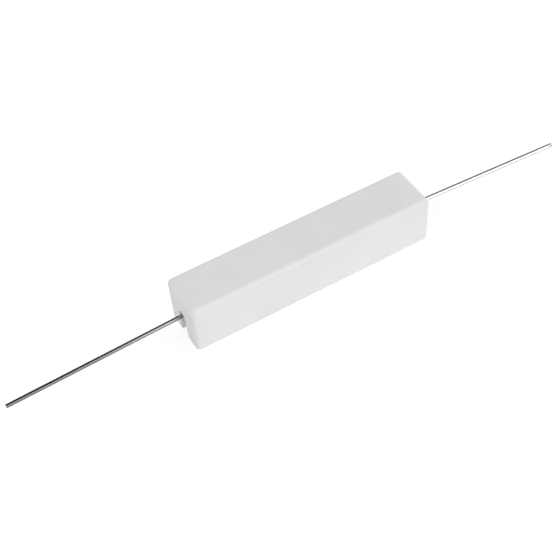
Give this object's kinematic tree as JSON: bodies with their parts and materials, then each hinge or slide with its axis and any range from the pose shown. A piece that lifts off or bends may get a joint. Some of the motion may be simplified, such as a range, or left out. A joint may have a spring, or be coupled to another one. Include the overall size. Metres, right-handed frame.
{
  "type": "axial resistor",
  "caption": "Ceramic-cased, cement-filled wirewound power resistor with a round wire lead at each end.",
  "frame": {"origin": "centre of the open rim that the case stands on, in the middle between the two lead tips", "axes": "+X along the leads, +Y across the case, +Z from the open, cement-filled side to the closed top"},
  "size_m": [0.113, 0.0094, 0.01],
  "materials": {
    "ceramic_case": "matte",
    "cement_filling": "matte",
    "core_rod": "matte",
    "resistance_winding": "satin",
    "end_cap": "satin",
    "tinned_lead": "satin"
  },
  "bodies": {
    "root": {"ceramic_case": "ceramic_case", "cement_filling": "cement_filling", "core_rod": "core_rod", "resistance_winding": "resistance_winding", "end_cap_left": "end_cap", "end_cap_right": "end_cap", "lead_left": "tinned_lead", "lead_right": "tinned_lead"}
  },
  "joints": []
}
